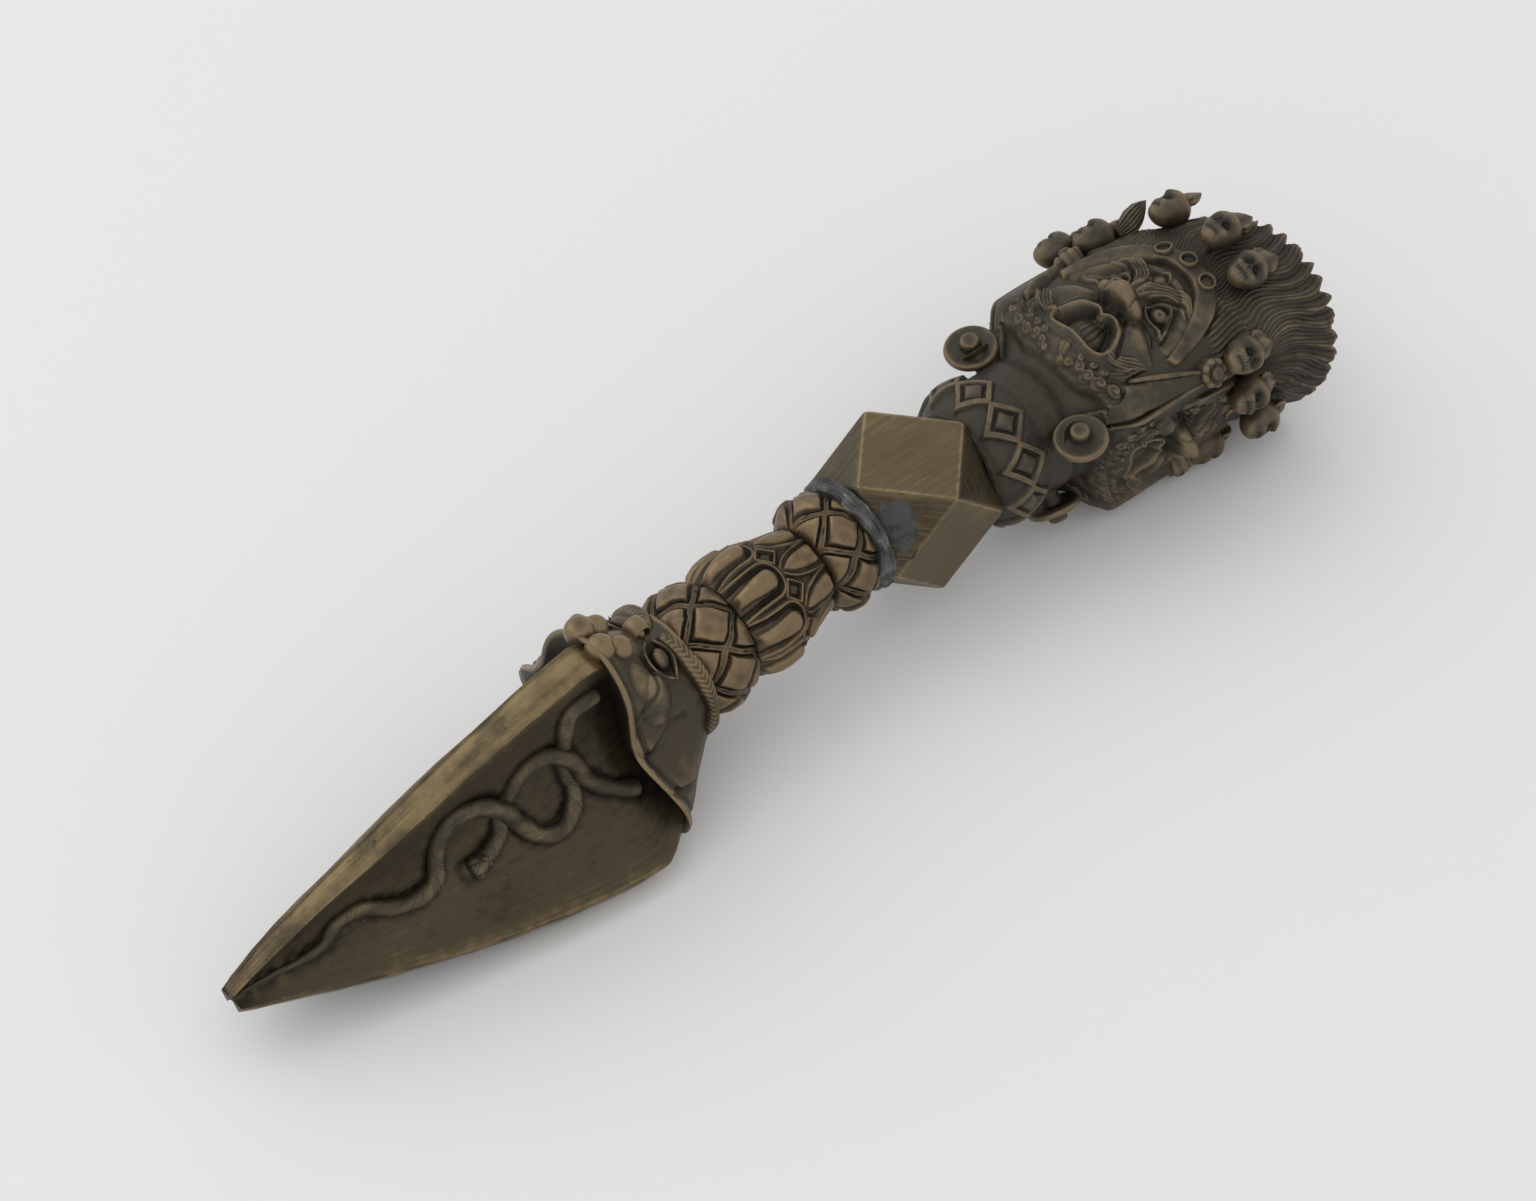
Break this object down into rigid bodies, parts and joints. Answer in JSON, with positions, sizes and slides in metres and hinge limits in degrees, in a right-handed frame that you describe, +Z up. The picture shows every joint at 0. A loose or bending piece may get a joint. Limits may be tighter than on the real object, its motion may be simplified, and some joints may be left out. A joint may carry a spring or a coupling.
{
  "type": "three-bladed ritual dagger",
  "caption": "Brass three-bladed ritual dagger lying on its side: snake-wound fins, sea-monster mask, lotus grip, facet block and three-faced crowned head.",
  "frame": {"origin": "centre of the bounding box's base, on the table below the middle of the dagger", "axes": "+X towards the crown of the head, -X towards the tip, +Z up, the pictured right face and camera side towards -Y"},
  "size_m": [0.2382, 0.051, 0.0446],
  "materials": {
    "patinated_brass": "dark olive-brown patina with worn golden heights",
    "mask_brass": "brown patina, rubbed golden on its raised parts",
    "grip_brass": "worn brass with dark grooves",
    "blade_brass": "brown patina with golden rubbed edges",
    "snake_brass": "brown patina, scratched",
    "block_brass": "brushed brass, dulled",
    "solder": "dull grey solder"
  },
  "bodies": {
    "root": {"blade": "blade_brass", "tang": "patinated_brass", "long_snake_right": "snake_brass", "long_snake_left": "snake_brass", "long_snake_under": "snake_brass", "short_snake_right": "snake_brass", "short_snake_left": "snake_brass", "short_snake_under": "snake_brass", "mask_shell": "mask_brass", "mask_nostrils": "mask_brass", "mask_scroll": "mask_brass", "mask_eyes": "mask_brass", "mask_brow_right": "mask_brass", "mask_brow_left": "mask_brass", "mask_beard": "mask_brass", "lower_knot": "grip_brass", "lotus_grip": "grip_brass", "lotus_long_petals": "grip_brass", "lotus_short_petals": "grip_brass", "lotus_diamonds": "grip_brass", "upper_knot": "grip_brass", "solder_fillet": "solder", "facet_block": "block_brass", "collar_ring": "patinated_brass", "collar_net": "patinated_brass", "head_core": "patinated_brass", "face_front": "patinated_brass", "face_right": "patinated_brass", "face_left": "patinated_brass", "nape": "patinated_brass", "eyes_front": "patinated_brass", "eyes_right": "patinated_brass", "eyes_left": "patinated_brass", "ear_lobes": "patinated_brass", "earring_front_right": "patinated_brass", "earring_front_left": "patinated_brass", "earring_rear_right": "patinated_brass", "earring_rear_left": "patinated_brass", "band_front": "patinated_brass", "band_right": "patinated_brass", "band_left": "patinated_brass", "band_rear": "patinated_brass", "band_cups": "patinated_brass", "rosettes": "patinated_brass", "skulls_front": "patinated_brass", "skulls_right": "patinated_brass", "skulls_left": "patinated_brass", "skulls_rear": "patinated_brass", "flame_hair": "patinated_brass"}
  },
  "joints": []
}
